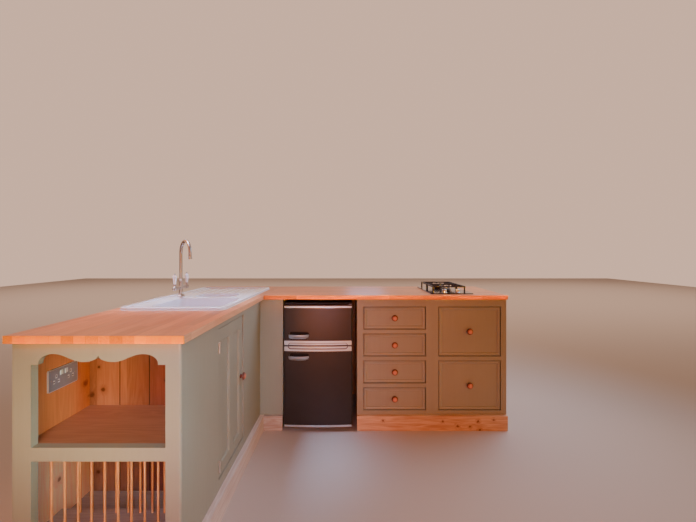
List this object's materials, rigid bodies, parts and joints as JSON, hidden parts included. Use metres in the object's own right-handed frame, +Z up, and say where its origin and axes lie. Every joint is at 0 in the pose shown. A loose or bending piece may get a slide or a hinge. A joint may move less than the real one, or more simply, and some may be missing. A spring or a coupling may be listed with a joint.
{
  "type": "fitted kitchen of a shepherds hut",
  "caption": "L-shaped painted timber kitchen with wooden worktops, inset ceramic sink, swan-neck tap, gas hob, fridge-freezer, drawers, cupboard and an open end niche over a dowel rack.",
  "frame": {"origin": "middle of the kitchen's bounding box on the floor", "axes": "+X to the right along the back wall, +Y towards the back wall, +Z up"},
  "size_m": [2.247, 1.75, 1.267],
  "materials": {
    "worktop_timber": "oiled timber staves",
    "painted_timber": "satin sage grey paint",
    "pine_boards": "oiled knotty pine",
    "pale_pine": "pale pine, oiled",
    "dowel_wood": "oiled",
    "knob_wood": "polished red-brown",
    "sink_ceramic": "gloss white",
    "lever_ceramic": "gloss white",
    "plain_steel": "brushed",
    "tap_metal": "bright",
    "hob_enamel": "gloss black",
    "hob_iron": "matt black",
    "hob_knob_metal": "satin",
    "socket_steel": "brushed",
    "fridge_black": "satin black",
    "fridge_trim": "bright",
    "shelf_glass": "clear"
  },
  "bodies": {
    "kitchen": {"worktop_left": "worktop_timber", "worktop_back": "worktop_timber", "end_frame": "painted_timber", "end_valance": "painted_timber", "end_side_panel": "painted_timber", "niche_side_boards": "pine_boards", "niche_back_boards": "pine_boards", "niche_shelf": "pale_pine", "rack_floor": "pale_pine", "rack_dowels": "dowel_wood", "cupboard_frame": "painted_timber", "cupboard_floor": "pale_pine", "cupboard_back": "pale_pine", "cupboard_hinges": "plain_steel", "corner_filler": "painted_timber", "drawer_frame": "painted_timber", "drawer_unit_panels": "pale_pine", "drawer_unit_back": "pale_pine", "drawer_runners": "pale_pine", "plinth_left": "pale_pine", "plinth_end": "pale_pine", "plinth_corner": "pale_pine", "plinth_back": "pale_pine", "sink": "sink_ceramic", "sink_wastes": "plain_steel", "tap_body": "tap_metal", "hob_plate": "hob_enamel", "hob_burners": "hob_iron", "hob_pan_supports": "hob_iron", "niche_socket": "socket_steel", "fridge_cabinet": "fridge_black", "fridge_hinges": "plain_steel", "fridge_shelves": "shelf_glass"},
    "cupboard": {"cupboard_door": "painted_timber", "cupboard_knob": "knob_wood", "cupboard_door_leaves": "plain_steel"},
    "freezer": {"freezer_door": "fridge_black", "freezer_door_trim": "fridge_trim"},
    "fridge": {"fridge_door": "fridge_black", "fridge_door_trim": "fridge_trim"},
    "spout": {"tap_spout": "tap_metal"},
    "lever_near": {"tap_hub_near": "tap_metal", "tap_lever_near": "lever_ceramic"},
    "lever_far": {"tap_hub_far": "tap_metal", "tap_lever_far": "lever_ceramic"},
    "hob_left": {"hob_knob_left": "hob_knob_metal"},
    "hob_right": {"hob_knob_right": "hob_knob_metal"},
    "small_drawer_1": {"drawer_1": "painted_timber", "drawer_knob_1": "knob_wood"},
    "small_drawer_2": {"drawer_2": "painted_timber", "drawer_knob_2": "knob_wood"},
    "small_drawer_3": {"drawer_3": "painted_timber", "drawer_knob_3": "knob_wood"},
    "small_drawer_4": {"drawer_4": "painted_timber", "drawer_knob_4": "knob_wood"},
    "deep_drawer_1": {"deep_drawer_1": "painted_timber", "deep_drawer_knob_1": "knob_wood"},
    "deep_drawer_2": {"deep_drawer_2": "painted_timber", "deep_drawer_knob_2": "knob_wood"}
  },
  "joints": [
    {"name": "cupboard_hinge", "type": "hinge", "parent": "kitchen", "child": "cupboard", "pos_m": [-0.5257, -0.4755, 0.49], "axis": [0, 0, -1], "range_deg": [0, 110]},
    {"name": "freezer_hinge", "type": "hinge", "parent": "kitchen", "child": "freezer", "pos_m": [0.0774, 0.276, 0.7], "axis": [0, 0, 1], "range_deg": [0, 90]},
    {"name": "fridge_hinge", "type": "hinge", "parent": "kitchen", "child": "fridge", "pos_m": [0.0774, 0.276, 0.3], "axis": [0, 0, 1], "range_deg": [0, 90]},
    {"name": "spout_swivel", "type": "hinge", "parent": "kitchen", "child": "spout", "pos_m": [-0.992, 0.131, 1.01], "axis": [0, 0, 1], "range_deg": [-45, 135]},
    {"name": "lever_near_turn", "type": "hinge", "parent": "kitchen", "child": "lever_near", "pos_m": [-0.992, 0.0527, 0.966], "axis": [0, 1, 0], "range_deg": [0, 90]},
    {"name": "lever_far_turn", "type": "hinge", "parent": "kitchen", "child": "lever_far", "pos_m": [-0.992, 0.2093, 0.966], "axis": [0, 1, 0], "range_deg": [0, 90]},
    {"name": "hob_left_turn", "type": "hinge", "parent": "kitchen", "child": "hob_left", "pos_m": [0.73, 0.361, 0.918], "axis": [0, 0, 1], "range_deg": [0, 210]},
    {"name": "hob_right_turn", "type": "hinge", "parent": "kitchen", "child": "hob_right", "pos_m": [0.82, 0.361, 0.918], "axis": [0, 0, 1], "range_deg": [0, 210]},
    {"name": "small_drawer_1_slide", "type": "slide", "parent": "kitchen", "child": "small_drawer_1", "axis": [0, -1, 0], "range_m": [0, 0.4]},
    {"name": "small_drawer_2_slide", "type": "slide", "parent": "kitchen", "child": "small_drawer_2", "axis": [0, -1, 0], "range_m": [0, 0.4]},
    {"name": "small_drawer_3_slide", "type": "slide", "parent": "kitchen", "child": "small_drawer_3", "axis": [0, -1, 0], "range_m": [0, 0.4]},
    {"name": "small_drawer_4_slide", "type": "slide", "parent": "kitchen", "child": "small_drawer_4", "axis": [0, -1, 0], "range_m": [0, 0.4]},
    {"name": "deep_drawer_1_slide", "type": "slide", "parent": "kitchen", "child": "deep_drawer_1", "axis": [0, -1, 0], "range_m": [0, 0.4]},
    {"name": "deep_drawer_2_slide", "type": "slide", "parent": "kitchen", "child": "deep_drawer_2", "axis": [0, -1, 0], "range_m": [0, 0.4]}
  ]
}
